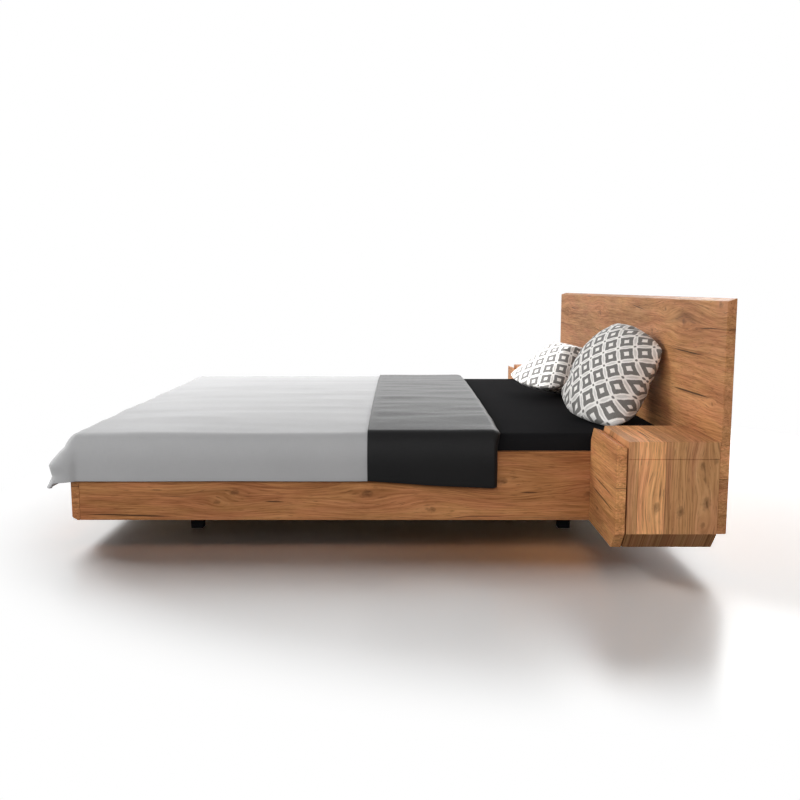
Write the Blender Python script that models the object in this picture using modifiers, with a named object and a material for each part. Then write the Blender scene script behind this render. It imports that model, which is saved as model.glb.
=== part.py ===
"""Solid wood bed: a low frame on four inset legs, a wide headboard, two hung nightstands with
drawers, a slatted base, a mattress and its bedding.

Metres. +X points to the head of the bed, +Y to the right of a sleeper, +Z up. The origin is on
the floor, under the middle of the whole bed.
"""
import math

import bmesh
import bpy
import numpy as np
from mathutils import Matrix, Vector

# Mattress, and the room that the frame leaves round it
mattress_length = 2.0
mattress_width = 1.8
mattress_height = 0.18
mattress_side_room = 0.008
mattress_end_room = 0.004
mattress_edge_radius = 0.03
mattress_crown = 0.006
mattress_cuts = 5

# Boards of the frame and the headboard
board = 0.027
board_edge = 0.0015
floor_clearance = 0.08
rail_height = 0.232
foot_chamfer_deep = 0.017
foot_chamfer_high = 0.010
headboard_height = 0.692
headboard_top_fall = 0.009

# Gap between two pieces that touch
touch = 0.0003
cloth_room = 0.0006
# How far a cutter runs past what it cuts
overrun = 0.01

# Slatted base and what carries it
slat_count = 12
slat_width = 0.1
slat_thickness = 0.02
slat_end_room = 0.006
beam_lift = 0.005
cross_beam_height = 0.04
cross_beam_width = 0.05
centre_beam_height = 0.04
centre_beam_width = 0.06
ledge_height = 0.03
ledge_width = 0.03
ledge_end_room = 0.005

# Legs, measured to their middles along the bed
leg_width = 0.042
leg_side_inset = 0.182
leg_from_foot = 0.374
leg_from_head = 0.349
leg_edge = 0.001

# Steel angles in the four inner corners
bracket_arm = 0.06
bracket_thickness = 0.003
bracket_height = 0.07
bracket_lift = 0.01

# Nightstands
nightstand_width = 0.346
nightstand_length = 0.302
nightstand_height = 0.328
corner_cut_in = 0.042
corner_cut_high = 0.052
case_board = 0.022
case_back_board = 0.012

# Drawers
drawer_front_thickness = 0.03
drawer_front_gap = 0.004
drawer_front_step = 0.008
drawer_grip_fall = 0.010
drawer_board = 0.014
drawer_side_room = 0.002
drawer_back_room = 0.02
drawer_box_lift = 0.01
drawer_box_height = 0.18
drawer_bottom_board = 0.006
drawer_bottom_lift = 0.008
runner_height = 0.016
runner_in_groove = 0.005
groove_room = 0.0003
groove_lift = 0.08
groove_front_room = 0.03

# Duvet: outer radius over the mattress edge, and how far its hems hang below its top
duvet_thickness = 0.02
duvet_radius = 0.045
duvet_side_drop = 0.170
duvet_foot_drop = 0.186
duvet_reach = 0.063
duvet_head_to_headboard = 0.628
duvet_fold_count = 4
duvet_fold_depth_share = 0.3
duvet_across_cuts = 16
duvet_along_cuts = 8
duvet_round_cuts = 3
duvet_hang_cuts = 4
# How far the foot hem stands out, down from the edge: share of the drop, share of the reach
duvet_flare_shares = ((0.0, 0.0), (0.25, 0.1), (0.57, 0.85), (0.80, 0.7), (1.0, 1.0))

# The part of the duvet that is turned back at its head end
turnback_thickness = 0.008
turnback_width = 0.415
turnback_drop_foot_end = 0.177
turnback_drop_head_end = 0.194
turnback_cuts = 5
turnback_roll_cuts = 3
# Part of the roll's height that is round; the rest stands straight on what is under it
turnback_round_share = 0.85

# Cushions: seam to seam at the corners, thickness, and how far a side is drawn in
pillow_width = 0.341
pillow_thickness = 0.193
pillow_draw_in_share = 0.10
pillow_cuts = 10
pillow_fullness = 0.42
# Each cushion's middle from its own edge of the mattress, then its turn about Z, its lean from
# upright and its roll, in degrees
pillow_left_from_edge = 0.307
pillow_left_turn = 29.3
pillow_left_lean = 31.0
pillow_left_roll = -18.4
pillow_right_from_edge = 0.712
pillow_right_turn = 45.6
pillow_right_lean = 73.1
pillow_right_roll = -22.3

# Places along the bed
frame_width = mattress_width + 2 * mattress_side_room + 2 * board
bed_length = mattress_length + 2 * mattress_end_room + board
overall_width = frame_width + 2 * nightstand_width
overall_length = duvet_reach + bed_length + board
head_x = overall_length / 2 - board
foot_x = head_x - bed_length
inner_foot_x = foot_x + board
inner_head_x = head_x - board
half_width = frame_width / 2
inner_half = half_width - board
mattress_middle_x = (inner_foot_x + head_x) / 2
half_overall = overall_width / 2

# Heights
rail_top = floor_clearance + rail_height
cross_beam_bottom = floor_clearance + beam_lift
cross_beam_top = cross_beam_bottom + cross_beam_height
centre_beam_bottom = cross_beam_top + touch
slat_seat = centre_beam_bottom + centre_beam_height
slat_bottom = slat_seat + touch
mattress_bottom = slat_bottom + slat_thickness + touch
mattress_top = mattress_bottom + mattress_height
headboard_bottom = floor_clearance + corner_cut_high
headboard_top = headboard_bottom + headboard_height

# Nightstand places
case_bottom = floor_clearance
case_top = case_bottom + nightstand_height
side_bottom = case_bottom + corner_cut_high
side_top = case_top - corner_cut_high
drawer_face_x = head_x - nightstand_length
drawer_back_face_x = drawer_face_x + drawer_front_thickness
case_front_x = drawer_back_face_x + drawer_front_gap
case_back_x = head_x - touch
case_width = nightstand_width - touch
slant_stretch = math.hypot(corner_cut_in, corner_cut_high) / corner_cut_high

SIDES = (("left", -1), ("right", 1))


def clear_scene():
    for item in list(bpy.data.objects):
        bpy.data.objects.remove(item, do_unlink=True)


def new_collection(name):
    collection = bpy.data.collections.new(name)
    bpy.context.scene.collection.children.link(collection)
    return collection


def new_material(name, colour, roughness, metallic=0.0):
    material = bpy.data.materials.new(name)
    material.use_nodes = True
    shader = material.node_tree.nodes["Principled BSDF"]
    shader.inputs["Base Color"].default_value = (*colour, 1.0)
    shader.inputs["Roughness"].default_value = roughness
    shader.inputs["Metallic"].default_value = metallic
    return material


clear_scene()
parts = new_collection("solid_wood_bed")
cutters = new_collection("cutters")
oak = new_material("oiled_oak", (0.43, 0.22, 0.10), 0.5)
oak_light = new_material("planed_oak", (0.55, 0.37, 0.20), 0.6)
black_steel = new_material("black_steel", (0.012, 0.012, 0.013), 0.45, 0.3)
zinc = new_material("zinc_steel", (0.60, 0.61, 0.62), 0.35, 1.0)
sheet_black = new_material("black_sheet", (0.022, 0.022, 0.024), 0.85)
duvet_grey = new_material("grey_duvet", (0.45, 0.45, 0.45), 0.85)
duvet_dark = new_material("charcoal_duvet", (0.035, 0.035, 0.036), 0.8)
cushion_cloth = new_material("patterned_cushion", (0.46, 0.44, 0.41), 0.85)


def add_mesh(name, mesh, material, collection=parts):
    thing = bpy.data.objects.new(name, mesh)
    collection.objects.link(thing)
    if material:
        mesh.materials.clear()
        mesh.materials.append(material)
    return thing


def ease_edges(thing, width, segments=1, angle=40.0):
    bevel = thing.modifiers.new("edges", "BEVEL")
    bevel.width = width
    bevel.segments = segments
    bevel.limit_method = "ANGLE"
    bevel.angle_limit = math.radians(angle)
    return thing


def box(name, low, high, material, collection=parts):
    """A box between two corners, made as a unit cube that is scaled and placed."""
    low, high = Vector(low), Vector(high)
    shape = bmesh.new()
    bmesh.ops.create_cube(shape, size=1.0)
    bmesh.ops.scale(shape, vec=high - low, verts=shape.verts)
    mesh = bpy.data.meshes.new(name)
    shape.to_mesh(mesh)
    shape.free()
    thing = add_mesh(name, mesh, material, collection)
    thing.location = (low + high) / 2
    return thing


def side_box(name, side, across, along, up, material, collection=parts):
    """A box on one side of the bed; across is measured outwards from the middle plane."""
    near, far = sorted(side * value for value in across)
    return box(name, (along[0], near, up[0]), (along[1], far, up[1]), material, collection)


# Matrices that stand an outline up: its first number runs along the bed or across it
def lengthways(middle):
    """Outline in X and Z, pulled out along Y."""
    return Matrix(((1, 0, 0, 0), (0, 0, -1, middle), (0, 1, 0, 0), (0, 0, 0, 1)))


def crossways(middle):
    """Outline in Y and Z, pulled out along X."""
    return Matrix(((0, 0, 1, middle), (1, 0, 0, 0), (0, 1, 0, 0), (0, 0, 0, 1)))


def upwards(middle):
    """Outline in X and Y, pulled out along Z."""
    return Matrix.Translation((0, 0, middle))


def prism(name, outline, stand, low, high, material):
    """A flat outline with a thickness, from low to high along the line that it is pulled."""
    curve = bpy.data.curves.new(name, "CURVE")
    curve.dimensions = "2D"
    curve.fill_mode = "BOTH"
    curve.extrude = (high - low) / 2
    spline = curve.splines.new("POLY")
    spline.points.add(len(outline) - 1)
    for point, (first, second) in zip(spline.points, outline):
        point.co = (first, second, 0, 1)
    spline.use_cyclic_u = True
    drawn = bpy.data.objects.new(name + "_outline", curve)
    parts.objects.link(drawn)
    drawn.matrix_world = stand((low + high) / 2)
    bpy.context.view_layer.update()
    seen = drawn.evaluated_get(bpy.context.evaluated_depsgraph_get())
    mesh = bpy.data.meshes.new_from_object(seen)
    shape = bmesh.new()
    shape.from_mesh(mesh)
    bmesh.ops.remove_doubles(shape, verts=shape.verts, dist=touch / 10)
    bmesh.ops.recalc_face_normals(shape, faces=shape.faces)
    shape.to_mesh(mesh)
    shape.free()
    thing = add_mesh(name, mesh, material)
    thing.matrix_world = drawn.matrix_world
    bpy.data.objects.remove(drawn, do_unlink=True)
    return thing


def cut(thing, cutter):
    """Take the cutter's shape out of a piece."""
    cutter.hide_render = True
    cutter.display_type = "WIRE"
    change = thing.modifiers.new("cut", "BOOLEAN")
    change.operation = "DIFFERENCE"
    change.solver = "EXACT"
    change.object = cutter
    return thing


def slope_cutter(name, side, high_point, low_point, across):
    """A wedge above a line that falls from high_point to low_point, both in X and Z."""
    (high_x, high_z), (low_x, low_z) = high_point, low_point
    fall = (high_z - low_z) / (low_x - high_x)
    start_x, end_x = high_x - overrun, low_x + overrun
    top = case_top + overrun
    outline = ((start_x, high_z + fall * overrun), (end_x, low_z - fall * overrun),
               (end_x, top), (start_x, top))
    near, far = sorted(side * value for value in across)
    wedge = prism(name, outline, lengthways, near, far, None)
    parts.objects.unlink(wedge)
    cutters.objects.link(wedge)
    return wedge


# Frame
def build_rails():
    for label, side in SIDES:
        rail = side_box(f"side_rail_{label}", side, (inner_half, half_width),
                        (inner_foot_x + touch, head_x - touch), (floor_clearance, rail_top), oak)
        ease_edges(rail, board_edge)


def build_foot_board():
    outline = ((foot_x, floor_clearance + foot_chamfer_high), (foot_x, rail_top),
               (inner_foot_x, rail_top), (inner_foot_x, floor_clearance),
               (foot_x + foot_chamfer_deep, floor_clearance))
    foot = prism("foot_board", outline, lengthways, -half_width, half_width, oak)
    ease_edges(foot, board_edge)


def build_head_rail():
    rail = box("head_rail", (inner_head_x, touch - inner_half, floor_clearance),
               (head_x - touch, inner_half - touch, slat_seat), oak)
    ease_edges(rail, board_edge)


def build_headboard():
    back_x = head_x + board
    outline = ((head_x, headboard_bottom), (head_x, headboard_top - headboard_top_fall),
               (back_x, headboard_top), (back_x, headboard_bottom))
    head = prism("headboard", outline, lengthways, -half_overall, half_overall, oak)
    ease_edges(head, board_edge)


def leg_places():
    return (("foot", foot_x + leg_from_foot), ("head", head_x - leg_from_head))


def build_beams():
    for end, middle in leg_places():
        box(f"cross_beam_{end}",
            (middle - cross_beam_width / 2, touch - inner_half, cross_beam_bottom),
            (middle + cross_beam_width / 2, inner_half - touch, cross_beam_top), oak_light)
    box("centre_beam", (inner_foot_x + touch, -centre_beam_width / 2, centre_beam_bottom),
        (inner_head_x - touch, centre_beam_width / 2, slat_seat), oak_light)
    room = bracket_arm + ledge_end_room
    for label, side in SIDES:
        side_box(f"slat_ledge_{label}", side, (inner_half - touch - ledge_width, inner_half - touch),
                 (inner_foot_x + room, inner_head_x - room), (slat_seat - ledge_height, slat_seat),
                 oak_light)


def build_slats():
    first = inner_foot_x + mattress_end_room
    last = head_x - mattress_end_room - slat_width
    reach = inner_half - slat_end_room
    for number in range(slat_count):
        start = first + (last - first) * number / (slat_count - 1)
        box(f"slat_{number + 1:02d}", (start, -reach, slat_bottom),
            (start + slat_width, reach, slat_bottom + slat_thickness), oak_light)


def build_legs():
    outer = half_width - leg_side_inset
    for end, middle in leg_places():
        for label, side in SIDES:
            leg = side_box(f"leg_{end}_{label}", side, (outer - leg_width, outer),
                           (middle - leg_width / 2, middle + leg_width / 2),
                           (0, cross_beam_bottom - touch), black_steel)
            ease_edges(leg, leg_edge)


def build_brackets():
    """An angle in each corner, one arm on the side rail and one on the foot board or head rail."""
    bottom = floor_clearance + bracket_lift
    for end, wall_x, inwards in (("foot", inner_foot_x, 1), ("head", inner_head_x, -1)):
        for label, side in SIDES:
            corner_x = wall_x + inwards * touch
            corner_y = side * (inner_half - touch)
            far_x = corner_x + inwards * bracket_arm
            far_y = corner_y - side * bracket_arm
            thick_x = corner_x + inwards * bracket_thickness
            thick_y = corner_y - side * bracket_thickness
            outline = ((corner_x, corner_y), (far_x, corner_y), (far_x, thick_y),
                       (thick_x, thick_y), (thick_x, far_y), (corner_x, far_y))
            prism(f"bracket_{end}_{label}", outline, upwards, bottom,
                  bottom + bracket_height, zinc)


# Nightstands: their sections are drawn from the outer face inwards
def case_y(side, inwards):
    return side * (half_overall - inwards)


def section(side, points):
    return [(case_y(side, inwards), height) for inwards, height in points]


def turned(point):
    """Where a point of a section comes after half a turn about the case's middle."""
    inwards, height = point
    return case_width - inwards, case_bottom + case_top - height


def lid_section():
    """A top board with a straight outer edge and a slanted inner one, both turned down."""
    cut_share = (corner_cut_high - case_board) / corner_cut_high
    slant_wall = case_board * slant_stretch
    return [
        (0, side_top), (0, case_top), (case_width - corner_cut_in, case_top),
        (case_width, side_top), (case_width - slant_wall, side_top),
        (case_width - slant_wall - corner_cut_in * cut_share, case_top - case_board),
        (case_board, case_top - case_board), (case_board, side_top)]


def build_case(label, side):
    """A lid, a base of the same section turned half round, and two sides between them."""
    lid = lid_section()
    base = [turned(point) for point in lid]
    for place, points in (("lid", lid), ("base", base)):
        shell = prism(f"nightstand_{label}_{place}", section(side, points), crossways,
                      case_front_x, case_back_x, oak)
        ease_edges(shell, board_edge)
    for place, start in (("outer", 0), ("inner", case_width - case_board)):
        across = (half_overall - start - case_board, half_overall - start)
        side_box(f"nightstand_{label}_{place}_side", side, across,
                 (case_front_x, case_back_x), (side_bottom + touch, side_top - touch), oak)
    build_case_back(label, side)
    build_runners(label, side)


def build_case_back(label, side):
    """A panel that fits inside the lid, the base and the two sides."""
    room = case_board + touch
    slant = room * slant_stretch
    cut_share = (corner_cut_high - room) / corner_cut_high
    half = [(case_width - room, case_bottom + room),
            (slant + corner_cut_in * cut_share, case_bottom + room),
            (slant, side_bottom + touch), (room, side_bottom + touch)]
    points = half + [turned(point) for point in half]
    panel = prism(f"nightstand_{label}_back", section(side, points), crossways,
                  case_back_x - case_back_board, case_back_x, oak_light)
    ease_edges(panel, board_edge)


def runner_band():
    """Heights of the groove in a drawer's sides."""
    bottom = side_bottom + drawer_box_lift + groove_lift
    return bottom, bottom + runner_height + 2 * groove_room


def drawer_box_ends():
    return drawer_back_face_x + touch, case_back_x - case_back_board - drawer_back_room


def build_runners(label, side):
    low, high = runner_band()
    front_x, back_x = drawer_box_ends()
    depth = drawer_side_room + runner_in_groove
    for place, wall in (("outer", case_board), ("inner", case_width - case_board)):
        inwards = 1 if place == "outer" else -1
        face = wall + inwards * touch
        across = sorted((half_overall - face, half_overall - face - inwards * depth))
        side_box(f"nightstand_{label}_{place}_runner", side, across,
                 (front_x + groove_front_room + groove_room, back_x),
                 (low + groove_room, high - groove_room), oak_light)


# Drawers
def build_drawer(label, side):
    slide = bpy.data.objects.new(f"drawer_{label}_slide", None)
    parts.objects.link(slide)
    slide.location = (drawer_face_x, case_y(side, case_width / 2), case_bottom)
    pieces = [drawer_front(label, side)] + drawer_tray(label, side)
    bpy.context.view_layer.update()
    for piece in pieces:
        piece.parent = slide
        piece.matrix_parent_inverse = slide.matrix_world.inverted()


def drawer_front(label, side):
    """Two opposite corners are cut off, and the top edge falls towards the case for a grip."""
    points = (
        (0, side_bottom), (corner_cut_in, case_bottom), (case_width, case_bottom),
        (case_width, side_top), (case_width - corner_cut_in, case_top), (0, case_top))
    front = prism(f"drawer_{label}_front", section(side, points), crossways, drawer_face_x,
                  drawer_back_face_x, oak)
    top = case_top - drawer_front_step
    across = (half_overall + overrun, half_width - overrun)
    cut(front, slope_cutter(f"drawer_{label}_grip_cutter", side, (drawer_face_x, top),
                            (drawer_back_face_x, top - drawer_grip_fall), across))
    return ease_edges(front, board_edge)


def drawer_tray(label, side):
    """Two grooved sides, a back and a bottom, all held by the front."""
    front_x, back_x = drawer_box_ends()
    bottom = side_bottom + drawer_box_lift
    top = bottom + drawer_box_height
    low, high = runner_band()
    outer = case_board + drawer_side_room + touch
    faces = (outer, case_width - outer)
    pieces = []
    for place, face in zip(("outer", "inner"), faces):
        inwards = 1 if place == "outer" else -1
        across = sorted((half_overall - face, half_overall - face - inwards * drawer_board))
        plank = side_box(f"drawer_{label}_{place}_side", side, across, (front_x, back_x),
                         (bottom, top), oak_light)
        depth = runner_in_groove + groove_room
        groove = sorted((half_overall - face + inwards * overrun,
                         half_overall - face - inwards * depth))
        cut(plank, side_box(f"drawer_{label}_{place}_groove_cutter", side, groove,
                            (front_x + groove_front_room, back_x + overrun), (low, high), None,
                            cutters))
        pieces.append(plank)
    inner = sorted(half_overall - face for face in
                   (faces[0] + drawer_board + touch, faces[1] - drawer_board - touch))
    pieces.append(side_box(f"drawer_{label}_back", side, inner,
                           (back_x - drawer_board, back_x), (bottom, top), oak_light))
    floor = bottom + drawer_bottom_lift
    pieces.append(side_box(f"drawer_{label}_bottom", side, inner,
                           (front_x, back_x - drawer_board - touch),
                           (floor, floor + drawer_bottom_board), oak_light))
    return pieces


# Bedding
def crown_at(x, y):
    """How far the mattress swells at a place: most in its middle, nothing at its edges."""
    along = (x - mattress_middle_x) / (mattress_length / 2)
    across = y / (mattress_width / 2)
    return mattress_crown * max(0.0, 1 - along ** 2) * max(0.0, 1 - across ** 2)


def build_mattress():
    """A block with rounded edges and a slightly swollen top, as it looks in its fitted sheet."""
    low = Vector((inner_foot_x + mattress_end_room, -mattress_width / 2, mattress_bottom))
    high = Vector((head_x - mattress_end_room, mattress_width / 2, mattress_top))
    block = box("mattress", low, high, sheet_black)
    shape = bmesh.new()
    shape.from_mesh(block.data)
    level = [edge for edge in shape.edges if edge.verts[0].co.z == edge.verts[1].co.z]
    bmesh.ops.subdivide_edges(shape, edges=level, cuts=mattress_cuts, use_grid_fill=True)
    for vert in shape.verts:
        place = block.location + vert.co
        vert.co.z += crown_at(place.x, place.y) * (place.z - low.z) / mattress_height
    shape.to_mesh(block.data)
    shape.free()
    ease_edges(block, mattress_edge_radius, segments=3)


def drape_profile(distance, radius):
    """Out and down of a point of cloth that lies a distance past the start of the edge."""
    quarter = radius * math.pi / 2
    if distance < quarter:
        angle = distance / radius
        return radius * math.sin(angle), radius * (1 - math.cos(angle))
    return radius, radius + distance - quarter


def over_edge_length(drop, radius):
    return radius * math.pi / 2 + drop - radius


def edge_steps(drop, radius):
    """Distances past the edge, close together round the bend and then down the hang."""
    quarter = radius * math.pi / 2
    total = over_edge_length(drop, radius)
    bend = [quarter * (step + 1) / duvet_round_cuts for step in range(duvet_round_cuts)]
    hang = [quarter + (total - quarter) * (step + 1) / duvet_hang_cuts
            for step in range(duvet_hang_cuts)]
    return bend + hang


def flare_share(down_share):
    downs, outs = zip(*duvet_flare_shares)
    return float(np.interp(down_share, downs, outs))


class Drape:
    """The outer face of cloth over the mattress and down outside the rails."""

    def __init__(self, lift):
        skin = cloth_room + duvet_thickness + lift
        self.radius = duvet_radius + lift
        self.top = mattress_top + skin
        self.flat_half = half_width + skin - self.radius
        self.flat_foot = foot_x - skin + self.radius
        self.flare = duvet_reach - cloth_room - duvet_thickness

    def point(self, x, y, past_foot, past_side, foot_drop, side_drop):
        """past_foot and past_side are distances of cloth past the foot edge and a side edge."""
        side = math.copysign(1, y)
        if past_foot <= 0 and past_side <= 0:
            return Vector((x, y, self.top + crown_at(x, y)))
        foot_part = max(0.0, past_foot) / over_edge_length(foot_drop, self.radius)
        side_part = max(0.0, past_side) / over_edge_length(side_drop, self.radius)
        angle = math.atan2(side_part, foot_part)
        drop = foot_drop * math.cos(angle) ** 2 + side_drop * math.sin(angle) ** 2
        distance = max(foot_part, side_part) * over_edge_length(drop, self.radius)
        out, down = drape_profile(distance, self.radius)
        fold = 1 - duvet_fold_depth_share * self.fold_wave(y)
        flare = self.flare * flare_share(down / drop) * fold
        forward = out * math.cos(angle) + flare * (1 - math.sin(angle) ** 4)
        sideways = (out + flare * math.cos(angle)) * math.sin(angle)
        return Vector((x - forward, y + side * sideways, self.top - down))

    def fold_wave(self, y):
        """0 at the crest of a fold of the foot hem and 1 between two."""
        turns = duvet_fold_count * y / self.flat_half
        return (1 - math.cos(turns * math.pi)) / 2


def cloth_shell(name, rows, thickness, material):
    """A closed shell under a grid of points of its outer face, with smooth faces."""
    columns = len(rows[0])
    shape = bmesh.new()
    bmesh.ops.create_grid(shape, x_segments=len(rows) - 1, y_segments=columns - 1, size=1.0)
    shape.verts.ensure_lookup_table()
    ordered = sorted(shape.verts, key=lambda vert: (round(vert.co.x, 5), round(vert.co.y, 5)))
    flat = [point for row in rows for point in row]
    for vert, point in zip(ordered, flat):
        vert.co = point
    bmesh.ops.recalc_face_normals(shape, faces=shape.faces)
    shape.normal_update()
    if sum(face.normal.z * face.calc_area() for face in shape.faces) < 0:
        bmesh.ops.reverse_faces(shape, faces=shape.faces)
    mesh = bpy.data.meshes.new(name)
    shape.to_mesh(mesh)
    shape.free()
    mesh.shade_smooth()
    thing = add_mesh(name, mesh, material)
    solid = thing.modifiers.new("thickness", "SOLIDIFY")
    solid.thickness = thickness
    solid.offset = -1.0
    solid.use_even_offset = True
    return thing


def across_steps(drape, drop):
    """Places across the bed: y on the flat top, and cloth past a side edge."""
    hang = edge_steps(drop, drape.radius)
    flat = np.linspace(-drape.flat_half, drape.flat_half, duvet_across_cuts + 1)
    left = [(-drape.flat_half, distance) for distance in reversed(hang)]
    right = [(drape.flat_half, distance) for distance in hang]
    return left + [(float(y), 0.0) for y in flat] + right


def build_duvet():
    drape = Drape(0.0)
    head_end = head_x - duvet_head_to_headboard - touch
    flat = np.linspace(head_end, drape.flat_foot, duvet_along_cuts + 1)
    along = [(float(x), 0.0) for x in flat]
    along += [(drape.flat_foot, distance) for distance in edge_steps(duvet_foot_drop, drape.radius)]
    rows = [[drape.point(x, y, past_foot, past_side, duvet_foot_drop, duvet_side_drop)
             for y, past_side in across_steps(drape, duvet_side_drop)]
            for x, past_foot in along]
    cloth_shell("duvet", rows, duvet_thickness, duvet_grey)


def build_turnback():
    """Lies on the duvet and rolls down over its head end to the mattress and the rails."""
    drape = Drape(cloth_room + turnback_thickness)
    under = Drape(-duvet_thickness)
    head_end = head_x - duvet_head_to_headboard
    roll = drape.top - under.top
    start = head_end - turnback_width
    rows = []
    for step in range(turnback_cuts + 1):
        share = step / turnback_cuts
        drop = turnback_drop_foot_end + (turnback_drop_head_end - turnback_drop_foot_end) * share
        x = start + turnback_width * share
        rows.append([drape.point(x, y, 0.0, past, drop, drop)
                     for y, past in across_steps(drape, drop)])
    last = rows[-1]
    inner = [under.point(head_end, y, 0.0, past, turnback_drop_head_end, turnback_drop_head_end)
             for y, past in across_steps(under, turnback_drop_head_end - roll)]
    for step in range(turnback_roll_cuts):
        angle = math.pi / 2 * (step + 1) / turnback_roll_cuts
        down_share = turnback_round_share * (1 - math.cos(angle))
        forward = Vector((roll * math.sin(angle), 0, 0))
        rows.append([outer.lerp(below, down_share) + forward
                     for outer, below in zip(last, inner)])
    rows.append([below + Vector((roll, 0, 0)) for below in inner])
    cloth_shell("duvet_turnback", rows, turnback_thickness, duvet_dark)


def cushion_half():
    """The upper half of a cushion, open along its seam."""
    shape = bmesh.new()
    bmesh.ops.create_grid(shape, x_segments=pillow_cuts, y_segments=pillow_cuts, size=1.0)
    half = pillow_width / 2
    for vert in shape.verts:
        s, t = vert.co.x, vert.co.y
        drawn_s = 1 - pillow_draw_in_share * (1 - t * t) * abs(s)
        drawn_t = 1 - pillow_draw_in_share * (1 - s * s) * abs(t)
        rise = max(0.0, (1 - s * s) * (1 - t * t)) ** pillow_fullness
        vert.co = (half * s * drawn_s, half * t * drawn_t, pillow_thickness / 2 * rise)
    mesh = bpy.data.meshes.new("cushion")
    shape.to_mesh(mesh)
    shape.free()
    mesh.shade_smooth()
    return mesh


def build_pillow(label, middle_y, turn, lean, roll):
    """A cushion that stands on the mattress and leans on the headboard."""
    pillow = add_mesh(f"pillow_{label}", cushion_half(), cushion_cloth)
    mirror = pillow.modifiers.new("other_half", "MIRROR")
    mirror.use_axis = (False, False, True)
    mirror.merge_threshold = touch / 10
    facing = Matrix.Rotation(math.radians(turn), 3, "Z")
    upright = Matrix(((0, 0, -1), (-1, 0, 0), (0, 1, 0)))
    tilt = Matrix.Rotation(math.radians(lean), 3, "Y")
    spin = Matrix.Rotation(math.radians(roll), 3, "Z")
    turned = facing @ tilt @ upright @ spin
    points = [turned @ vert.co for vert in pillow.data.vertices]
    points += [turned @ Vector((vert.co.x, vert.co.y, -vert.co.z)) for vert in pillow.data.vertices]
    middle_x = head_x - touch - max(point.x for point in points)
    middle_z = touch + max(mattress_top + crown_at(middle_x + point.x, middle_y + point.y) - point.z
                           for point in points)
    place = Vector((middle_x, middle_y, middle_z))
    pillow.matrix_world = Matrix.Translation(place) @ turned.to_4x4()


def build_bedding():
    build_mattress()
    build_duvet()
    build_turnback()
    edge_y = mattress_width / 2
    build_pillow("left", pillow_left_from_edge - edge_y, pillow_left_turn, pillow_left_lean,
                 pillow_left_roll)
    build_pillow("right", edge_y - pillow_right_from_edge, pillow_right_turn, pillow_right_lean,
                 pillow_right_roll)


def build_bed():
    build_rails()
    build_foot_board()
    build_head_rail()
    build_headboard()
    build_beams()
    build_slats()
    build_legs()
    build_brackets()
    for label, side in SIDES:
        build_case(label, side)
        build_drawer(label, side)
    build_bedding()


build_bed()
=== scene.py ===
"""The looks of the solid wood bed: oiled knotty oak, bedding, floor, light and camera."""
import math
from collections import namedtuple

import bmesh
import bpy
import numpy as np
from mathutils import Matrix, Vector, noise


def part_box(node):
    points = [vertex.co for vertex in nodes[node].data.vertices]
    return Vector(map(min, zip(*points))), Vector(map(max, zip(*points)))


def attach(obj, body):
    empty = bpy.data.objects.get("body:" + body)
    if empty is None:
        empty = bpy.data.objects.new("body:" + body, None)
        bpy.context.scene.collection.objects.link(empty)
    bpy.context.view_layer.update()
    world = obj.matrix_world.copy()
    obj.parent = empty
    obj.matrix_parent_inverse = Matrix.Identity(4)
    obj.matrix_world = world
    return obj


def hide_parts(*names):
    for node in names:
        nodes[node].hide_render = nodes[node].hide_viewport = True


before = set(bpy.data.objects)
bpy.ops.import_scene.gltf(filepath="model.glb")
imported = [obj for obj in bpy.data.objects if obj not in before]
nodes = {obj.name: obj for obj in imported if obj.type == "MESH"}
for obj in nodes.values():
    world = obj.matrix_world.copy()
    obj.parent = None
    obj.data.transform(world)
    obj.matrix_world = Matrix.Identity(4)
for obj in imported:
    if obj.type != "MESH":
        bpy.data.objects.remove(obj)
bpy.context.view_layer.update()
SIDES = (("left", -1), ("right", 1))


def corners(name):
    low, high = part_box(name)
    return Vector(low), Vector(high)


mattress_low, mattress_high = corners("mattress")
foot_low, foot_high = corners("foot_board")
head_low, head_high = corners("headboard")
duvet_low, duvet_high = corners("duvet")
band_low, band_high = corners("duvet_turnback")
foot_x = foot_low.x
drawer_face_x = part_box("drawer_left_front")[0][0]
head_x = head_low.x
near_y = head_low.y
half_width = foot_high.y
middle_x = (mattress_low.x + mattress_high.x) / 2


def with_settings(thing, settings):
    for key, value in settings.items():
        setattr(thing, key, value)
    return thing


def put_in_scene(name, data):
    thing = bpy.data.objects.new(name, data)
    bpy.context.scene.collection.objects.link(thing)
    return thing


# Camera, set back from the headboard's front face, the near end of the headboard and the floor
camera_along = 0.9351
camera_back = 2.4751
camera_height = 0.8542
camera_pitch = 0.1296
focal_pixels = 863.27
image_pixels = 800
sensor_width = 36.0


def build_camera():
    data = bpy.data.cameras.new("camera")
    data.sensor_width = sensor_width
    data.lens = sensor_width * focal_pixels / image_pixels
    camera = put_in_scene("camera", data)
    camera.location = (head_x - camera_along, near_y - camera_back, camera_height)
    camera.rotation_euler = (math.pi / 2 - camera_pitch, 0, 0)
    bpy.context.scene.camera = camera


# Materials
natural_base = 2.718


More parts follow.
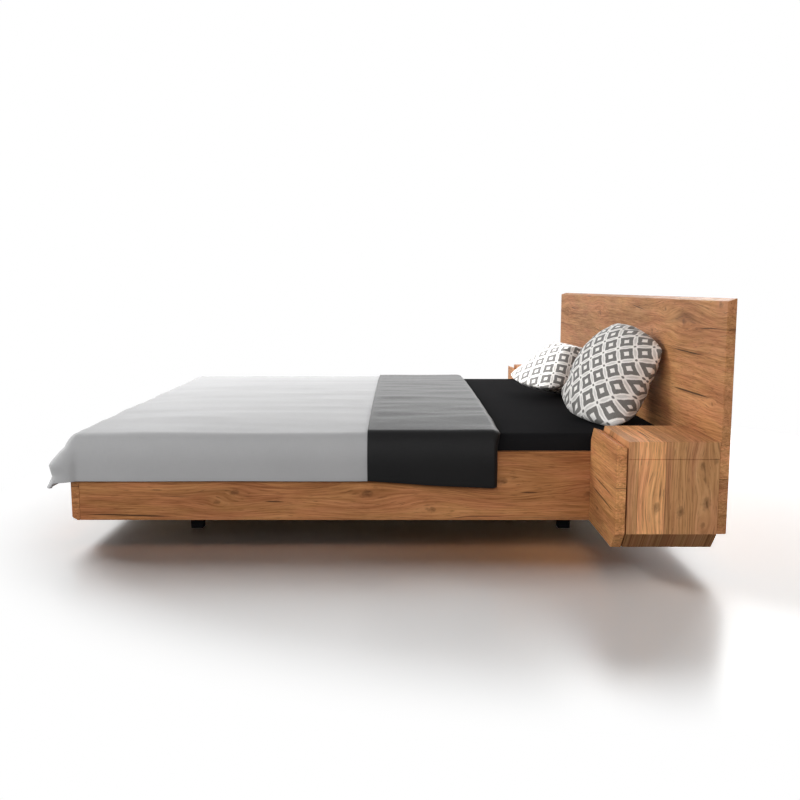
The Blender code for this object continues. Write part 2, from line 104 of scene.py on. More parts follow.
class Graph:
    """Shader nodes, added one at a time and fed with sockets or plain values."""

    def __init__(self, tree):
        self.tree = tree

    def node(self, kind, **settings):
        return with_settings(self.tree.nodes.new(kind), settings)

    def feed(self, socket, value):
        if isinstance(value, bpy.types.NodeSocket):
            self.tree.links.new(value, socket)
        else:
            socket.default_value = value

    def fed(self, kind, *values, **settings):
        """A node, whose first inputs take these values."""
        made = self.node(kind, **settings)
        for socket, value in zip(made.inputs, values):
            self.feed(socket, value)
        return made

    def math(self, operation, *values):
        return self.fed("ShaderNodeMath", *values, operation=operation).outputs[0]

    def add(self, first, second):
        return self.math("ADD", first, second)

    def less(self, first, second):
        return self.math("SUBTRACT", first, second)

    def times(self, first, second):
        return self.math("MULTIPLY", first, second)

    def scaled(self, value, factor, offset):
        return self.math("MULTIPLY_ADD", value, factor, offset)

    def larger(self, first, second):
        return self.math("MAXIMUM", first, second)

    def distance(self, first, second):
        return self.math("ABSOLUTE", self.less(first, second))

    def bell(self, square, steepness):
        """One in the middle, and less with the square of the distance."""
        return self.math("POWER", natural_base, self.times(square, -steepness))

    def ease(self, value, low, high, to_low=0.0, to_high=1.0):
        """A smooth step from low to high."""
        return self.fed("ShaderNodeMapRange", value, low, high, to_low, to_high,
                        interpolation_type="SMOOTHSTEP").outputs[0]

    def vector(self, x, y, z):
        return self.fed("ShaderNodeCombineXYZ", x, y, z).outputs[0]

    def dot(self, vector, direction):
        made = self.fed("ShaderNodeVectorMath", vector, direction, operation="DOT_PRODUCT")
        return made.outputs["Value"]

    def noise(self, vector, scale=1.0, detail=2.0, roughness=0.5):
        made = self.fed("ShaderNodeTexNoise", vector)
        made.inputs["Scale"].default_value = scale
        made.inputs["Detail"].default_value = detail
        made.inputs["Roughness"].default_value = roughness
        return made.outputs["Fac"]

    def cells(self, vector, scale=1.0):
        made = self.fed("ShaderNodeTexVoronoi", vector, feature="F1")
        made.inputs["Scale"].default_value = scale
        return made.outputs

    def mix(self, share, first, second, blend="MIX"):
        made = self.node("ShaderNodeMix", data_type="RGBA", blend_type=blend)
        for number, value in ((0, share), (6, first), (7, second)):
            self.feed(made.inputs[number], (*value, 1.0) if isinstance(value, tuple) else value)
        return made.outputs[2]

    def ramp(self, value, stops):
        made = self.fed("ShaderNodeValToRGB", value)
        places = made.color_ramp.elements
        while len(places) < len(stops):
            places.new(0.5)
        for place, (position, colour) in zip(places, stops):
            place.position = position
            place.color = (*colour, 1.0)
        return made.outputs[0]

    def bump(self, height, strength, distance):
        made = self.node("ShaderNodeBump")
        made.inputs["Strength"].default_value = strength
        made.inputs["Distance"].default_value = distance
        self.feed(made.inputs["Height"], height)
        return made.outputs[0]


class Finish(Graph):
    """A material, whose shader the nodes feed."""

    def __init__(self, name):
        self.material = bpy.data.materials.new(name)
        self.material.use_nodes = True
        super().__init__(self.material.node_tree)
        self.shader = self.tree.nodes["Principled BSDF"]

    def set(self, **values):
        """Put values on the shader's own sockets; an underscore stands for a space."""
        for key, value in values.items():
            self.feed(self.shader.inputs[key.replace("_", " ")], value)

    def place(self):
        return self.node("ShaderNodeTexCoord").outputs["Object"]

    def cloth_place(self):
        """A cloth piece's own flat grid, and its two directions."""
        grid = self.node("ShaderNodeUVMap", uv_map="cloth").outputs[0]
        return grid, self.dot(grid, (1, 0, 0)), self.dot(grid, (0, 1, 0))

    def crossing(self, x, y, turns):
        """Waves both ways, as crossing threads or quilting make them."""
        return self.times(self.math("SINE", self.times(x, turns)),
                          self.math("SINE", self.times(y, turns)))

    def slubs(self, x, y, along, across):
        """Thicker stretches in the threads of both directions."""
        return self.add(self.noise(self.vector(self.times(x, along), self.times(y, across), 0.0)),
                        self.noise(self.vector(self.times(x, across), self.times(y, along), 4.0)))


# Oak, seen along the grain (u), across it (v) and into the board (w)
OILED_TONES = ((0.27, (0.150, 0.056, 0.021)), (0.40, (0.350, 0.140, 0.053)),
               (0.50, (0.500, 0.212, 0.084)), (0.60, (0.620, 0.282, 0.118)),
               (0.75, (0.770, 0.390, 0.175)))
PLANED_TONES = ((0.27, (0.300, 0.190, 0.100)), (0.40, (0.450, 0.310, 0.175)),
                (0.50, (0.560, 0.400, 0.240)), (0.60, (0.640, 0.475, 0.295)),
                (0.75, (0.730, 0.560, 0.370)))
LATE_WOOD_COLOUR = (0.150, 0.068, 0.030)
PORE_COLOUR = (0.150, 0.066, 0.028)
KNOT_COLOUR = (0.060, 0.028, 0.014)
CRACK_COLOUR = (0.050, 0.026, 0.015)

# Noise in the wood, by its cells per metre along the grain, across it and into the board
Field = namedtuple("Field", "along across inward shift detail roughness",
                   defaults=(0.0, 0.0, 2.0, 0.5))
sway_field = Field(1.6, 3.0, detail=1.5)
band_field = Field(0.8, 13.0, inward=5.0)
line_field = Field(2.4, 62.0, inward=25.0, detail=3.0, roughness=0.6)
fibre_field = Field(16.0, 420.0, inward=300.0)
streak_field = Field(8.0, 210.0, inward=90.0, roughness=0.6)
late_wood_field = Field(1.3, 38.0, shift=11.0)
pore_field = Field(24.0, 380.0, inward=200.0, detail=1.0)
check_field = Field(4.0, 120.0, shift=23.0, detail=1.0)
check_zone_field = Field(2.6, 7.0, shift=31.0, detail=1.0)
patch_field = Field(3.2, 6.0, shift=3.0)
ruddy_field = Field(4.5, 24.0, shift=17.0)
ragged_field = Field(55.0, 120.0)

# How much each noise weighs in the tone, and where their sum starts
band_weight, line_weight, streak_weight, fibre_weight = 0.34, 0.26, 0.42, 0.12
tone_start = -0.07
sway_width = 0.026
joint_half_width, joint_core = 0.0011, 0.0003
crack_wander = 0.012
thinnest_crack = 0.0001

# Knots: how far the grain gives way, and how fast that and the dark middle fall off
knot_bend_share = 0.8
knot_core_fall = 2.6
wild_along, wild_across = 1.7, 5.2
wild_size = 0.085


def knot_group():
    """Bends the grain round one knot and darkens its middle."""
    tree = bpy.data.node_groups.new("knot", "ShaderNodeTree")
    for name in ("u", "v", "grain", "dark", "at u", "at v", "size"):
        tree.interface.new_socket(name, in_out="INPUT", socket_type="NodeSocketFloat")
    for name in ("grain", "dark"):
        tree.interface.new_socket(name, in_out="OUTPUT", socket_type="NodeSocketFloat")
    graph = Graph(tree)
    given = graph.node("NodeGroupInput").outputs
    result = graph.node("NodeGroupOutput").inputs
    away_u, away_v = (graph.math("DIVIDE", graph.less(given[way], given[f"at {way}"]),
                                 given["size"]) for way in "uv")

    def square(shortening):
        """Square of the distance from the knot, which reaches further along the grain."""
        along = graph.times(away_u, shortening)
        return graph.add(graph.times(along, along), graph.times(away_v, away_v))

    pull = graph.bell(square(0.42), 0.12)
    bend = graph.times(graph.times(away_v, given["size"]), pull)
    graph.feed(result["grain"], graph.less(given["grain"], graph.times(bend, knot_bend_share)))
    rough = graph.noise(graph.vector(away_u, away_v, 0.0), scale=1.3)
    close = graph.times(square(0.62), graph.scaled(rough, 2.4, -0.2))
    core = graph.times(graph.bell(close, knot_core_fall), 0.62)
    turns = graph.math("SINE", graph.times(graph.math("POWER", close, 0.5), 4.6))
    halo = graph.times(graph.bell(close, 0.30), graph.scaled(turns, 0.20, 0.36))
    graph.feed(result["dark"], graph.larger(graph.larger(core, halo), given["dark"]))
    return tree


knot_tree = knot_group()


class Oak(Finish):
    """Knotty oak, built up from its boards, knots, cracks and grain."""

    def __init__(self, name, along, across, depth, seed):
        super().__init__(name)
        place = self.place()
        self.u, self.v, self.w = (self.dot(place, way) for way in (along, across, depth))
        self.shift = seed

    def field(self, kind, across):
        """Noise, long along the grain; across is the straight or the bent place across it."""
        if kind.inward:
            depth = self.scaled(self.w, kind.inward, self.shift)
        else:
            depth = self.add(self.shift, kind.shift) if kind.shift else self.shift
        place = self.vector(self.times(self.u, kind.along), self.times(across, kind.across), depth)
        return self.noise(place, detail=kind.detail, roughness=kind.roughness)

    def join_boards(self, boards, first_tone):
        """Tone of each glued board and the lines between them, from (place across, tone)."""
        tone, joint, before = first_tone, 0.0, first_tone
        for number, (edge, board_tone) in enumerate(boards):
            past = self.math("GREATER_THAN", self.v, edge)
            tone = self.scaled(past, board_tone - before, tone)
            self.shift = self.scaled(past, 5.3 + 1.7 * number, self.shift)
            line = self.distance(self.v, edge)
            joint = self.larger(joint, self.ease(line, joint_half_width, joint_core))
            before = board_tone
        return tone, joint

    def start_grain(self):
        self.wave = self.less(self.field(sway_field, self.v), 0.5)
        self.grain = self.scaled(self.wave, sway_width, self.v)

    def grow_knots(self, knottiness):
        """Knots where they like: the grain bends round them, and their dark comes back."""
        spread = self.vector(self.times(self.u, wild_along),
                             self.times(self.v, wild_across), self.shift)
        cells = self.cells(spread)
        away = self.math("DIVIDE", cells["Distance"], wild_size)
        chosen = self.math("LESS_THAN", self.dot(cells["Color"], (1, 0, 0)), knottiness)
        halo = self.times(self.bell(self.times(away, away), 0.35), chosen)
        offset = self.fed("ShaderNodeVectorMath", spread, cells["Position"], operation="SUBTRACT")
        aside = self.dot(offset.outputs[0], (0, 1 / wild_across, 0))
        self.grain = self.less(self.grain, self.times(self.times(aside, knot_bend_share), halo))
        return self.times(self.bell(self.times(away, away), knot_core_fall),
                          self.times(chosen, 0.85))

    def set_knots(self, knots):
        """Knots at chosen places: (along, across, size) each, in metres."""
        dark = 0.0
        for at_u, at_v, size in knots:
            made = self.node("ShaderNodeGroup", node_tree=knot_tree)
            for name, value in (("u", self.u), ("v", self.v), ("grain", self.grain),
                                ("dark", dark), ("at u", at_u), ("at v", at_v), ("size", size)):
                self.feed(made.inputs[name], value)
            self.grain, dark = made.outputs["grain"], made.outputs["dark"]
        return dark

    def open_cracks(self, cracks):
        """Thin dark lines: (start along, start across, end along, end across, width) each."""
        dark = 0.0
        for start_u, start_v, end_u, end_v, width in cracks:
            slope = (end_v - start_v) / (end_u - start_u)
            line = self.scaled(self.less(self.u, start_u), slope, start_v)
            off = self.less(self.less(self.v, line), self.times(self.wave, crack_wander))
            middle, reach = (start_u + end_u) / 2, abs(end_u - start_u) / 2
            along = self.math("ABSOLUTE", self.math("DIVIDE", self.less(self.u, middle), reach))
            open_width = self.times(self.ease(along, 1.0, 0.3), width)
            here = self.math("LESS_THAN", along, 1.0)
            side = self.math("DIVIDE", self.math("ABSOLUTE", off),
                             self.larger(open_width, thinnest_crack))
            dark = self.larger(dark, self.times(self.ease(side, 1.0, 0.35), here))
        return dark

    def small_checks(self):
        checks = self.ease(self.field(check_field, self.grain), 0.66, 0.72)
        zone = self.ease(self.field(check_zone_field, self.v), 0.56, 0.64)
        return self.times(self.times(checks, zone), 0.8)

    def tint(self, tone, hue, painted_light_at):
        """Lighter, darker and redder patches on top of each board's own tone."""
        patch = self.field(patch_field, self.v)
        red = self.times(self.ease(patch, 0.30, 0.70, 0.92, 1.08), tone)
        # Past the given depth the wood is painted lighter: painted light on the edges behind a face
        if painted_light_at:
            depth, painted_light_tone = painted_light_at
            deep = self.math("GREATER_THAN", self.w, depth)
            red = self.times(red, self.scaled(deep, painted_light_tone - 1, 1.0))
        ruddy = self.field(ruddy_field, self.grain)
        green = self.ease(ruddy, 0.35, 0.68, 1.04 * hue[0], 0.94 * hue[0])
        blue = self.ease(ruddy, 0.35, 0.68, 1.00 * hue[1], 0.99 * hue[1])
        return self.vector(red, self.times(red, green), self.times(red, blue))


def oak(name, along, across, depth=(0, 0, 0), seed=0.0, tones=OILED_TONES, boards=(),
        first_tone=1.0, knots=(), cracks=(), knottiness=0.5, hue=(1.0, 1.0), painted_light_at=None):
    """Knotty oak. hue is the share of green and blue to keep; the last argument holds the depth
    from which the wood is painted lighter, as painted light on the edges behind a face, and its
    tone there."""
    wood = Oak(name, along, across, depth, seed)
    tone, joint = wood.join_boards(boards, first_tone)
    wood.start_grain()
    knot = wood.larger(wood.grow_knots(knottiness), wood.set_knots(knots))
    # Bands of early and late wood, finer lines, fibres
    lines, fibres = wood.field(line_field, wood.grain), wood.field(fibre_field, wood.grain)
    level = wood.scaled(fibres, fibre_weight, tone_start)
    level = wood.scaled(wood.field(streak_field, wood.grain), streak_weight, level)
    level = wood.scaled(lines, line_weight, level)
    level = wood.scaled(wood.field(band_field, wood.grain), band_weight, level)
    colour = wood.ramp(level, tones)
    late = wood.ease(wood.field(late_wood_field, wood.grain), 0.60, 0.74)
    colour = wood.mix(wood.times(late, 0.34), colour, LATE_WOOD_COLOUR)
    pore = wood.ease(wood.field(pore_field, wood.grain), 0.60, 0.70)
    colour = wood.mix(wood.times(pore, 0.50), colour, PORE_COLOUR)
    colour = wood.mix(1.0, colour, wood.tint(tone, hue, painted_light_at), "MULTIPLY")
    # Knots with a ragged rim, cracks and joints
    ragged = wood.less(wood.field(ragged_field, wood.v), 0.5)
    knot_dark = wood.ease(wood.scaled(ragged, 0.45, knot), 0.16, 0.95)
    crack = wood.larger(wood.small_checks(), wood.open_cracks(cracks))
    colour = wood.mix(wood.times(knot_dark, 0.84), colour, KNOT_COLOUR)
    colour = wood.mix(wood.times(crack, 0.9), colour, CRACK_COLOUR)
    colour = wood.mix(wood.times(joint, 0.5), colour, CRACK_COLOUR)
    raised = wood.scaled(lines, 0.5, wood.times(fibres, 0.5))
    height = wood.less(raised, wood.add(wood.times(pore, 0.8), wood.times(crack, 3.0)))
    wood.set(Base_Color=colour, Normal=wood.bump(height, 0.22, 0.0006),
             Roughness=wood.ease(level, 0.3, 0.7, 0.56, 0.44), Specular_IOR_Level=0.08)
    return wood.material


def give(material, *names):
    """These nodes keep their shapes and get this finish."""
    for name in names:
        nodes[name].data.materials.clear()
        nodes[name].data.materials.append(material)


ALONG_X, ALONG_Y, ALONG_Z = (1, 0, 0), (0, 1, 0), (0, 0, 1)
# Boards on edge: along, across and into the board
LENGTHWAYS = (ALONG_X, ALONG_Z, ALONG_Y)
CROSSWAYS = (ALONG_Y, ALONG_Z, ALONG_X)
frame_tone = 0.94

# Places of what stands out in the wood, in metres along and across the grain
RAIL_KNOTS = ((-0.452, 0.175, 0.016), (-0.512, 0.142, 0.012), (-0.010, 0.170, 0.022),
              (0.208, 0.116, 0.014), (0.440, 0.214, 0.020), (0.728, 0.170, 0.012))
RAIL_CRACKS = ((-0.985, 0.101, -0.635, 0.092, 0.0035), (-0.361, 0.145, -0.281, 0.142, 0.0028),
               (0.498, 0.175, 0.568, 0.174, 0.0024), (-0.735, 0.184, -0.690, 0.183, 0.0020))
HEAD_KNOTS = ((-0.700, 0.780, 0.012), (-0.547, 0.698, 0.010), (-1.225, 0.805, 0.016),
              (0.291, 0.736, 0.018), (1.067, 0.723, 0.014), (-1.192, 0.508, 0.009),
              (-0.904, 0.742, 0.020), (0.290, 0.666, 0.012), (0.560, 0.500, 0.018))
HEAD_CRACKS = ((-0.785, 0.518, -1.198, 0.523, 0.0042), (-0.768, 0.650, -1.120, 0.647, 0.0030),
               (-1.038, 0.728, -1.256, 0.735, 0.0022), (-0.241, 0.788, -0.444, 0.771, 0.0022))
HEAD_BOARDS = ((0.271, 0.90), (0.297, 1.12), (0.397, 1.0), (0.655, 0.96))
# From the case's outer face, round its upper edge
CASE_KNOTS = ((0.212, 0.855, 0.017), (0.226, 1.001, 0.020), (0.200, 0.925, 0.018),
              (0.159, 0.993, 0.010), (0.351, 1.024, 0.010), (0.338, 0.985, 0.012))
CASE_BOARDS = ((0.797, 1.86), (0.878, 1.10))
# On the drawer of the far side; the near one mirrors it
DRAWER_KNOTS = ((1.117, 0.366, 0.006), (1.05, 0.150, 0.009))
DRAWER_CRACKS = ((0.969, 0.246, 1.269, 0.234, 0.0030), (0.933, 0.208, 1.274, 0.192, 0.0036))
DRAWER_BOARDS = ((0.262, 1.10),)
NIGHTSTAND_SEEDS = {"left": 50.0, "right": 59.0}


def finish_frame():
    give(oak("rail_left_oak", *LENGTHWAYS, seed=2.0, first_tone=frame_tone,
             knots=RAIL_KNOTS, cracks=RAIL_CRACKS, knottiness=0.12), "side_rail_left")
    give(oak("rail_right_oak", *LENGTHWAYS, seed=14.0, first_tone=frame_tone),
         "side_rail_right")
    give(oak("foot_board_oak", *CROSSWAYS, seed=27.0, first_tone=frame_tone),
         "foot_board")
    give(oak("head_rail_oak", *CROSSWAYS, seed=33.0), "head_rail")
    give(oak("headboard_oak", *CROSSWAYS, seed=41.0, boards=HEAD_BOARDS,
             knots=HEAD_KNOTS, cracks=HEAD_CRACKS, knottiness=0.2, hue=(1.08, 1.14)), "headboard")


def finish_nightstand(label, side, seed):
    """The grain runs over the top and on down the outer side."""
    case, drawer, over_edge = f"nightstand_{label}", f"drawer_{label}", (0, -side, 1)
    start = -abs(head_high.y)
    knots = [(start + along, across, size) for along, across, size in CASE_KNOTS]
    give(oak(f"{case}_oak", over_edge, ALONG_X, seed=seed, boards=CASE_BOARDS, first_tone=1.25,
             knots=knots, knottiness=0.25, hue=(1.14, 1.28)),
         f"{case}_lid", f"{case}_outer_side", f"{case}_inner_side")
    # The base's low first tone is painted shade, for the bevel under the nightstand that faces the
    # floor
    give(oak(f"{case}_base_oak_painted_shade", over_edge, ALONG_X, seed=seed + 2.0, first_tone=0.72,
             hue=(1.10, 1.20)), f"{case}_base")
    knots = [(side * along, across, size) for along, across, size in DRAWER_KNOTS]
    cracks = [(side * start_y, start_z, side * end_y, end_z, width)
              for start_y, start_z, end_y, end_z, width in DRAWER_CRACKS]
    # The drawer front's edges behind its face are 1.3 times lighter: painted light on those edges
    give(oak(f"{drawer}_front_oak", *CROSSWAYS, seed=seed + 5.0,
             boards=DRAWER_BOARDS, first_tone=1.04, knots=knots, cracks=cracks, knottiness=0.2,
             hue=(1.07, 1.06), painted_light_at=(drawer_face_x + 0.001, 1.3)), f"{drawer}_front")


def finish_hidden_wood():
    lengthways = oak("planed_lengthways", ALONG_X, ALONG_Y, ALONG_Z, seed=60.0, tones=PLANED_TONES)
    crossways = oak("planed_crossways", ALONG_Y, ALONG_X, ALONG_Z, seed=71.0, tones=PLANED_TONES)
    upright = oak("planed_upright", *LENGTHWAYS, seed=82.0, tones=PLANED_TONES)
    back = oak("planed_back", *CROSSWAYS, seed=93.0, tones=PLANED_TONES)
    for name in nodes:
        if name.startswith(("slat_ledge", "centre_beam")):
            give(lengthways, name)
        elif name.startswith(("slat_", "cross_beam")):
            give(crossways, name)
    for label, _ in SIDES:
        case, drawer = f"nightstand_{label}", f"drawer_{label}"
        give(upright, f"{drawer}_outer_side", f"{drawer}_inner_side",
             f"{case}_outer_runner", f"{case}_inner_runner")
        give(back, f"{drawer}_back", f"{case}_back")
        give(crossways, f"{drawer}_bottom")


def black_powder_coat():
    graph = Finish("black_powder_coat")
    place = graph.place()
    grit, cloud = graph.noise(place, scale=900.0), graph.noise(place, scale=14.0)
    graph.set(Base_Color=graph.ramp(cloud, ((0.3, (0.004, 0.004, 0.005)),
                                            (0.7, (0.007, 0.007, 0.008)))),
              Roughness=graph.ease(cloud, 0.3, 0.7, 0.55, 0.68), Specular_IOR_Level=0.15,
              Normal=graph.bump(grit, 0.25, 0.0003))
    return graph.material


def zinc_plate():
    graph = Finish("zinc_plate")
    place = graph.place()
    flake = graph.dot(graph.cells(place, scale=120.0)["Color"], (0.4, 0.3, 0.3))
    scuff = graph.noise(graph.vector(graph.dot(place, (400, 0, 0)), graph.dot(place, (0, 400, 0)),
                                     graph.dot(place, (0, 0, 30))))
    wear = graph.add(graph.times(flake, 0.6), graph.times(scuff, 0.4))
    graph.set(Base_Color=graph.ramp(flake, ((0.2, (0.50, 0.51, 0.53)), (0.8, (0.68, 0.69, 0.70)))),
              Roughness=graph.ease(wear, 0.3, 0.7, 0.26, 0.44),
              Normal=graph.bump(scuff, 0.1, 0.0002), Metallic=1.0)
    return graph.material


def finish_metal():
    coat, zinc = black_powder_coat(), zinc_plate()
    for name in nodes:
        if name.startswith("leg_"):
            give(coat, name)
        elif name.startswith("bracket_"):
            give(zinc, name)


def cotton(name, light, dark, thread, rough, specular):
    """Plain woven cotton: crossing threads on the cloth's own flat grid, with slubs."""
    graph = Finish(name)
    _, x, y = graph.cloth_place()
    weave = graph.crossing(x, y, 2 * math.pi / thread)
    slub = graph.slubs(x, y, 30.0, 900.0)
    cloud = graph.noise(graph.vector(graph.times(x, 5.0), graph.times(y, 5.0), 8.0), detail=3.0)
    shade = graph.scaled(slub, 0.30, graph.times(cloud, 0.40))
    height = graph.scaled(weave, 0.5, graph.times(slub, 0.6))
    graph.set(Base_Color=graph.ramp(shade, ((0.38, dark), (0.62, light))), Roughness=rough,
              Specular_IOR_Level=specular, Normal=graph.bump(height, 0.25, 0.0004))
    return graph.material


# Bedding: how much higher the mattress is in its middle, the grid of the cloth, and the gap
# between two layers
crown_height = 0.006
cloth_step = 0.0125
cloth_gap = 0.0006


def smooth_noise(x, y, z):
    return noise.noise(Vector((x, y, z)))


def folds(x, y, kinds):
    """Low soft folds, from waves per metre along and across, slant, place and height."""
    return sum(smooth_noise(x * along, y * across + x * slant, place) * height
               for along, across, slant, place, height in kinds)


def steps(low, high):
    return [float(value) for value in np.linspace(low, high, int((high - low) / cloth_step) + 2)]


def crown_at(x, y):
    along = (x - middle_x) / (mattress_high.x - mattress_low.x) * 2
    across = y / mattress_high.y
    return crown_height * max(0.0, 1 - along ** 2) * max(0.0, 1 - across ** 2)


def add_face(shape, layer, verts, flat_places):
    """A smooth face, whose UV is its place on the flat cloth."""
    face = shape.faces.new(verts)
    face.smooth = True
    for loop, flat in zip(face.loops, flat_places):
        loop[layer].uv = flat


def modify(piece, name, kind, **settings):
    return with_settings(piece.modifiers.new(name, kind), settings)


def finished_piece(name, shape):
    mesh = bpy.data.meshes.new(name)
    shape.to_mesh(mesh)
    shape.free()
    return put_in_scene(name, mesh)


def grid_piece(name, laid, material, thickness, rim=0.0):
    """A shell under a grid of (place, place on the flat cloth), both in metres."""
    shape = bmesh.new()
    verts = [[shape.verts.new(point) for point, _ in row] for row in laid]
    layer = shape.loops.layers.uv.new("cloth")
    for i in range(len(laid) - 1):
        for j in range(len(laid[0]) - 1):
            places = ((i, j), (i, j + 1), (i + 1, j + 1), (i + 1, j))
            add_face(shape, layer, [verts[a][b] for a, b in places],
                     [laid[a][b][1] for a, b in places])
    shape.normal_update()
    if sum(face.normal.z * face.calc_area() for face in shape.faces) < 0:
        bmesh.ops.reverse_faces(shape, faces=shape.faces)
    piece = finished_piece(name, shape)
    piece.data.materials.append(material)
    modify(piece, "thickness", "SOLIDIFY", thickness=thickness, offset=-1.0)
    if rim:
        modify(piece, "rim", "BEVEL", width=rim, segments=3, limit_method="ANGLE",
               angle_limit=math.radians(60))
    return piece


# How far down the soft rounding of a hanging edge reaches, over how far out it goes
round_depth = 2.2
quarter_turns = np.linspace(0, math.pi / 2, 61)
quarter_out = np.sin(quarter_turns)
quarter_down = round_depth * (1 - np.cos(quarter_turns))
quarter_run = np.concatenate(
    ([0.0], np.cumsum(np.hypot(np.diff(quarter_out), np.diff(quarter_down)))))


def hang_profile(distance, radius):
    """Out and down of cloth that lies a distance past the start of an edge."""
    run = distance / radius
    if run < quarter_run[-1]:
        angle = float(np.interp(run, quarter_run, quarter_turns))
        return radius * math.sin(angle), radius * round_depth * (1 - math.cos(angle))
    return radius, radius * (round_depth + run - quarter_run[-1])


def hang_length(drop, radius):
    return radius * quarter_run[-1] + drop - radius * round_depth


duvet_thickness = 0.008
duvet_radius = 0.045
duvet_skin = 0.0206
duvet_top = duvet_high.z - crown_height
# The top slopes down by this much towards its edges; the drops count from there
edge_fall = 0.011
edge_fall_from = 0.45
foot_drop = duvet_top - edge_fall - duvet_low.z
side_drop = 0.170 - edge_fall
hem_lean = 0.006
hem_waves = 4
hem_wave_share = 0.3
extra_flare = 0.016
# How much of the flare is reached at which share of the way down
flare_downs = (0.0, 0.25, 0.57, 0.80, 1.0)
flare_outs = (0.0, 0.1, 0.85, 0.7, 1.0)
# Near the foot the side hems hang lower, and everywhere they waver a little
droop_from, droop_run, droop_height = -0.72, 0.25, 0.013
waver_height = 0.0025
DUVET_FOLDS = ((1.3, 7.0, 0.0, 3.0, 0.0040), (2.5, 3.0, 0.0, 9.0, 0.0030),
               (3.0, 14.0, 2.0, 15.0, 0.0012))
BAND_FOLDS = ((2.4, 8.0, 0.0, 21.0, 0.0042), (5.0, 16.0, 0.0, 25.0, 0.0018))


def edge_share(reach, edge):
    """How far the top has sloped down, 0 to 1, at this reach from the middle."""
    return max(0.0, (min(reach, edge) - edge_fall_from) / (edge - edge_fall_from)) ** 2


class Drape:
    """The outer face of bedding over the mattress and down outside the rails."""

    def __init__(self, lift):
        self.radius = duvet_radius + lift
        self.top = duvet_top + lift
        self.flat_half = half_width + duvet_skin + lift - self.radius
        self.flat_foot = foot_x - duvet_skin - lift + self.radius
        self.flare = self.flat_foot - self.radius - duvet_low.x + extra_flare

    def across(self, drop):
        reach = self.flat_half + hang_length(drop, self.radius)
        return steps(-reach, reach)

    def past_edge(self, y):
        return max(0.0, abs(y) - self.flat_half)

    def point(self, x, y, foot_drop, side_drop):
        """Where the cloth of flat place x, y comes to lie, with the drop of each hem."""
        past_foot, past_side = max(0.0, self.flat_foot - x), self.past_edge(y)
        side = math.copysign(1, y)
        base_x = max(x, self.flat_foot)
        base_y = side * min(abs(y), self.flat_half)
        level = 1 - edge_share(abs(y), self.flat_half)
        level *= 1 - edge_share(-x, -self.flat_foot)
        top = self.top - edge_fall * (1 - level)
        if past_foot <= 0 and past_side <= 0:
            return Vector((x, y, top + crown_at(x, y)))
        foot_part = past_foot / hang_length(foot_drop, self.radius)
        side_part = past_side / hang_length(side_drop, self.radius)
        angle = math.atan2(side_part, foot_part)
        drop = foot_drop * math.cos(angle) ** 2 + side_drop * math.sin(angle) ** 2
        distance = max(foot_part, side_part) * hang_length(drop, self.radius)
        out, down = hang_profile(distance, self.radius)
        turns = hem_waves * base_y / self.flat_half
        fold = 1 - hem_wave_share * (1 - math.cos(turns * math.pi)) / 2
        flare = self.flare * float(np.interp(down / drop, flare_downs, flare_outs)) * fold
        forward = out * math.cos(angle) + flare * (1 - math.sin(angle) ** 4)
        sideways = (out + flare * math.cos(angle)) * math.sin(angle)
        sideways -= hem_lean * (down / drop) ** 2 * math.sin(angle) ** 4
        return Vector((base_x - forward, base_y + side * sideways, top - down))


def build_duvet():
    drape = Drape(0.0)
    along = steps(drape.flat_foot - hang_length(foot_drop, drape.radius), duvet_high.x)
    across = drape.across(side_drop)

    def place(x, y):
        droop = droop_height * min(1.0, max(0.0, (droop_from - x) / droop_run)) ** 2
        droop += waver_height * smooth_noise(x * 2.6, 2.0, 51.0)
        point = drape.point(x, y, foot_drop, side_drop + droop)
        point.z += folds(x, y, DUVET_FOLDS)
        return point, (x, y)

    material = cotton("grey_cotton", (0.48, 0.48, 0.485), (0.44, 0.44, 0.445), 0.0011,
                      rough=0.5, specular=0.14)
    duvet = grid_piece("duvet_cloth", [[place(x, y) for y in across] for x in along], material,
                       duvet_thickness, rim=0.005)
    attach(duvet, "frame")
    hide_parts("duvet")


band_thickness = 0.008
band_lift = cloth_gap + band_thickness
band_foot_drop = 0.177 - edge_fall
band_head_drop = 0.201 - edge_fall
band_fold_run = 0.04
roll_steps = 10
# How much less the roll stands out on the sides than on top
side_roll_share = 0.4


